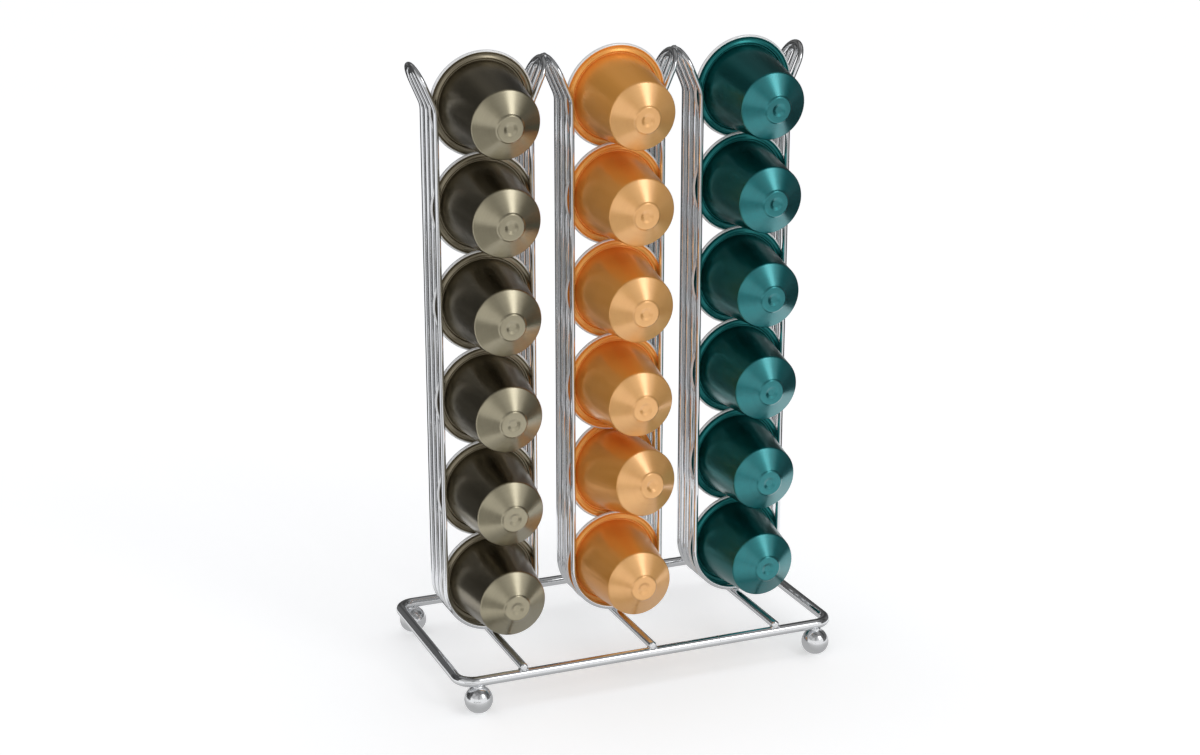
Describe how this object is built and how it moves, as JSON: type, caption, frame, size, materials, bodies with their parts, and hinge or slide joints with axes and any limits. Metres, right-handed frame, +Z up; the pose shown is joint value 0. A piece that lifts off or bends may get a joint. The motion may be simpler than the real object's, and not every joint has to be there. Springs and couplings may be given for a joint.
{
  "type": "coffee capsule dispenser",
  "caption": "Free-standing chrome wire stand whose columns of paired wire loops hold piles of coffee capsules by their rims.",
  "frame": {"origin": "on the standing plane, under the middle of the base", "axes": "+Z up, the capsules' noses point to -Y, +X to the right seen from the front"},
  "size_m": [0.145, 0.0842, 0.2212],
  "materials": {
    "chrome_wire": "polished chrome plate",
    "bronze_cup": "satin lacquered, olive bronze",
    "amber_cup": "satin lacquered, amber",
    "teal_cup": "satin lacquered, dark teal",
    "foil_lid": "embossed foil"
  },
  "bodies": {
    "stand": {"base_ring": "chrome_wire", "foot_front_left": "chrome_wire", "foot_front_right": "chrome_wire", "foot_rear_left": "chrome_wire", "foot_rear_right": "chrome_wire", "cross_bar_left": "chrome_wire", "cross_bar_centre": "chrome_wire", "cross_bar_right": "chrome_wire", "outer_loop_left": "chrome_wire", "outer_loop_centre": "chrome_wire", "outer_loop_right": "chrome_wire", "inner_loop_left": "chrome_wire", "inner_loop_centre": "chrome_wire", "inner_loop_right": "chrome_wire"},
    "capsule_left_1": {"cup_left_1": "bronze_cup", "lid_left_1": "foil_lid"},
    "capsule_left_2": {"cup_left_2": "bronze_cup", "lid_left_2": "foil_lid"},
    "capsule_left_3": {"cup_left_3": "bronze_cup", "lid_left_3": "foil_lid"},
    "capsule_left_4": {"cup_left_4": "bronze_cup", "lid_left_4": "foil_lid"},
    "capsule_left_5": {"cup_left_5": "bronze_cup", "lid_left_5": "foil_lid"},
    "capsule_left_6": {"cup_left_6": "bronze_cup", "lid_left_6": "foil_lid"},
    "capsule_centre_1": {"cup_centre_1": "amber_cup", "lid_centre_1": "foil_lid"},
    "capsule_centre_2": {"cup_centre_2": "amber_cup", "lid_centre_2": "foil_lid"},
    "capsule_centre_3": {"cup_centre_3": "amber_cup", "lid_centre_3": "foil_lid"},
    "capsule_centre_4": {"cup_centre_4": "amber_cup", "lid_centre_4": "foil_lid"},
    "capsule_centre_5": {"cup_centre_5": "amber_cup", "lid_centre_5": "foil_lid"},
    "capsule_centre_6": {"cup_centre_6": "amber_cup", "lid_centre_6": "foil_lid"},
    "capsule_right_1": {"cup_right_1": "teal_cup", "lid_right_1": "foil_lid"},
    "capsule_right_2": {"cup_right_2": "teal_cup", "lid_right_2": "foil_lid"},
    "capsule_right_3": {"cup_right_3": "teal_cup", "lid_right_3": "foil_lid"},
    "capsule_right_4": {"cup_right_4": "teal_cup", "lid_right_4": "foil_lid"},
    "capsule_right_5": {"cup_right_5": "teal_cup", "lid_right_5": "foil_lid"},
    "capsule_right_6": {"cup_right_6": "teal_cup", "lid_right_6": "foil_lid"}
  },
  "joints": [
    {"name": "lift_left_1", "type": "slide", "parent": "stand", "child": "capsule_left_1", "axis": [0, 0, 1], "range_m": [0, 0.204]},
    {"name": "lift_left_2", "type": "slide", "parent": "capsule_left_1", "child": "capsule_left_2", "axis": [0, 0, 1], "range_m": [0, 0.171]},
    {"name": "lift_left_3", "type": "slide", "parent": "capsule_left_2", "child": "capsule_left_3", "axis": [0, 0, 1], "range_m": [0, 0.138]},
    {"name": "lift_left_4", "type": "slide", "parent": "capsule_left_3", "child": "capsule_left_4", "axis": [0, 0, 1], "range_m": [0, 0.104]},
    {"name": "lift_left_5", "type": "slide", "parent": "capsule_left_4", "child": "capsule_left_5", "axis": [0, 0, 1], "range_m": [0, 0.07]},
    {"name": "lift_left_6", "type": "slide", "parent": "capsule_left_5", "child": "capsule_left_6", "axis": [0, 0, 1], "range_m": [0, 0.036]},
    {"name": "lift_centre_1", "type": "slide", "parent": "stand", "child": "capsule_centre_1", "axis": [0, 0, 1], "range_m": [0, 0.204]},
    {"name": "lift_centre_2", "type": "slide", "parent": "capsule_centre_1", "child": "capsule_centre_2", "axis": [0, 0, 1], "range_m": [0, 0.171]},
    {"name": "lift_centre_3", "type": "slide", "parent": "capsule_centre_2", "child": "capsule_centre_3", "axis": [0, 0, 1], "range_m": [0, 0.138]},
    {"name": "lift_centre_4", "type": "slide", "parent": "capsule_centre_3", "child": "capsule_centre_4", "axis": [0, 0, 1], "range_m": [0, 0.104]},
    {"name": "lift_centre_5", "type": "slide", "parent": "capsule_centre_4", "child": "capsule_centre_5", "axis": [0, 0, 1], "range_m": [0, 0.07]},
    {"name": "lift_centre_6", "type": "slide", "parent": "capsule_centre_5", "child": "capsule_centre_6", "axis": [0, 0, 1], "range_m": [0, 0.036]},
    {"name": "lift_right_1", "type": "slide", "parent": "stand", "child": "capsule_right_1", "axis": [0, 0, 1], "range_m": [0, 0.204]},
    {"name": "lift_right_2", "type": "slide", "parent": "capsule_right_1", "child": "capsule_right_2", "axis": [0, 0, 1], "range_m": [0, 0.171]},
    {"name": "lift_right_3", "type": "slide", "parent": "capsule_right_2", "child": "capsule_right_3", "axis": [0, 0, 1], "range_m": [0, 0.138]},
    {"name": "lift_right_4", "type": "slide", "parent": "capsule_right_3", "child": "capsule_right_4", "axis": [0, 0, 1], "range_m": [0, 0.104]},
    {"name": "lift_right_5", "type": "slide", "parent": "capsule_right_4", "child": "capsule_right_5", "axis": [0, 0, 1], "range_m": [0, 0.07]},
    {"name": "lift_right_6", "type": "slide", "parent": "capsule_right_5", "child": "capsule_right_6", "axis": [0, 0, 1], "range_m": [0, 0.036]}
  ]
}
